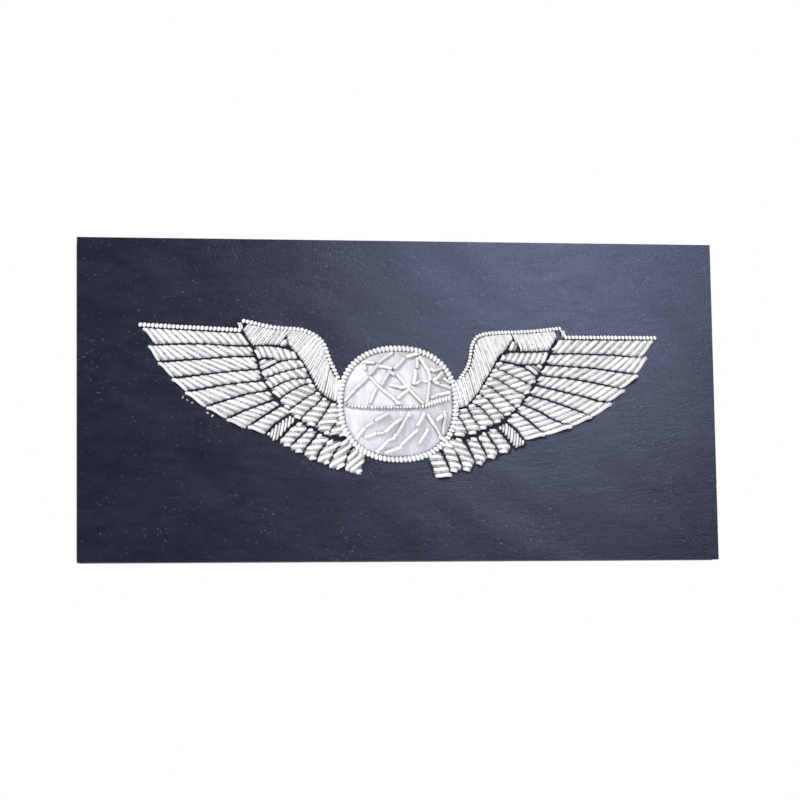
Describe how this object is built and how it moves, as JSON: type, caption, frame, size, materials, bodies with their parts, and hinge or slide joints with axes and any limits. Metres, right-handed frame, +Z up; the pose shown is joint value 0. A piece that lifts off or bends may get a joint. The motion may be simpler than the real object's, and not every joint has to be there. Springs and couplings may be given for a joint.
{
  "type": "pilot wings badge",
  "caption": "Silver bullion pilot wings with a round centre emblem, embroidered on a navy leather patch, with butterfly clutch pins behind.",
  "frame": {"origin": "centre of the patch's back face, the one that lies on the garment", "axes": "+Z up as worn, +X to the right of someone looking at the embroidery, +Y out of the back into the garment"},
  "size_m": [0.1016, 0.0138, 0.0508],
  "materials": {
    "leather": "navy, fine grain, soft sheen",
    "stiffener": "buckram",
    "backing": "pressed felt",
    "bullion": "silver purl wire laid over cotton, bright and rough strands in turn",
    "cord": "silver pearl purl, beaded",
    "cloth": "silver tissue cloth",
    "padding": "felt",
    "nickel": "bright nickel plate"
  },
  "bodies": {
    "root": {"leather_patch": "leather", "stiffener_sheet": "stiffener", "backing_felt": "backing", "post_left": "nickel", "post_centre": "nickel", "post_right": "nickel", "primary_left_1": "bullion", "primary_left_2": "bullion", "primary_left_3": "bullion", "primary_left_4": "bullion", "primary_left_5": "bullion", "primary_left_6": "bullion", "primary_left_7": "bullion", "primary_left_8": "bullion", "secondary_left_1": "bullion", "secondary_left_2": "bullion", "secondary_left_3": "bullion", "secondary_left_4": "bullion", "secondary_left_5": "bullion", "secondary_left_6": "bullion", "secondary_left_7": "bullion", "shoulder_left": "bullion", "coverts_left": "bullion", "leading_cord_left": "cord", "shoulder_cord_left": "cord", "primary_right_1": "bullion", "primary_right_2": "bullion", "primary_right_3": "bullion", "primary_right_4": "bullion", "primary_right_5": "bullion", "primary_right_6": "bullion", "primary_right_7": "bullion", "primary_right_8": "bullion", "secondary_right_1": "bullion", "secondary_right_2": "bullion", "secondary_right_3": "bullion", "secondary_right_4": "bullion", "secondary_right_5": "bullion", "secondary_right_6": "bullion", "secondary_right_7": "bullion", "shoulder_right": "bullion", "coverts_right": "bullion", "leading_cord_right": "cord", "shoulder_cord_right": "cord", "globe_padding": "padding", "globe_cloth": "cloth", "globe_border_cord": "cord", "globe_equator_cord": "cord"},
    "clutch_left": {"clutch_cup_left": "nickel"},
    "jaw_left_a": {"clutch_jaw_left_a": "nickel"},
    "jaw_left_b": {"clutch_jaw_left_b": "nickel"},
    "clutch_centre": {"clutch_cup_centre": "nickel"},
    "jaw_centre_a": {"clutch_jaw_centre_a": "nickel"},
    "jaw_centre_b": {"clutch_jaw_centre_b": "nickel"},
    "clutch_right": {"clutch_cup_right": "nickel"},
    "jaw_right_a": {"clutch_jaw_right_a": "nickel"},
    "jaw_right_b": {"clutch_jaw_right_b": "nickel"}
  },
  "joints": [
    {"name": "clutch_left_slide", "type": "slide", "parent": "root", "child": "clutch_left", "axis": [0, 1, 0], "range_m": [-0.00185, 0.00715]},
    {"name": "jaw_left_a_pinch", "type": "hinge", "parent": "clutch_left", "child": "jaw_left_a", "pos_m": [-0.0346, 0.0037, 0.005], "axis": [0, 0, -1], "range_deg": [0, 10], "stiffness_Nm_per_rad": 0.05},
    {"name": "jaw_left_b_pinch", "type": "hinge", "parent": "clutch_left", "child": "jaw_left_b", "pos_m": [-0.0294, 0.0037, 0.005], "axis": [0, 0, 1], "range_deg": [0, 10]},
    {"name": "clutch_centre_slide", "type": "slide", "parent": "root", "child": "clutch_centre", "axis": [0, 1, 0], "range_m": [-0.00185, 0.00715]},
    {"name": "jaw_centre_a_pinch", "type": "hinge", "parent": "clutch_centre", "child": "jaw_centre_a", "pos_m": [-0.0026, 0.0037, 0.005], "axis": [0, 0, -1], "range_deg": [0, 10], "stiffness_Nm_per_rad": 0.05},
    {"name": "jaw_centre_b_pinch", "type": "hinge", "parent": "clutch_centre", "child": "jaw_centre_b", "pos_m": [0.0026, 0.0037, 0.005], "axis": [0, 0, 1], "range_deg": [0, 10]},
    {"name": "clutch_right_slide", "type": "slide", "parent": "root", "child": "clutch_right", "axis": [0, 1, 0], "range_m": [-0.00185, 0.00715]},
    {"name": "jaw_right_a_pinch", "type": "hinge", "parent": "clutch_right", "child": "jaw_right_a", "pos_m": [0.0294, 0.0037, 0.005], "axis": [0, 0, -1], "range_deg": [0, 10], "stiffness_Nm_per_rad": 0.05},
    {"name": "jaw_right_b_pinch", "type": "hinge", "parent": "clutch_right", "child": "jaw_right_b", "pos_m": [0.0346, 0.0037, 0.005], "axis": [0, 0, 1], "range_deg": [0, 10]}
  ],
  "couplings": [
    {"joint": "jaw_left_b_pinch", "follows": "jaw_left_a_pinch", "ratio": 1},
    {"joint": "jaw_centre_b_pinch", "follows": "jaw_centre_a_pinch", "ratio": 1},
    {"joint": "jaw_right_b_pinch", "follows": "jaw_right_a_pinch", "ratio": 1}
  ]
}
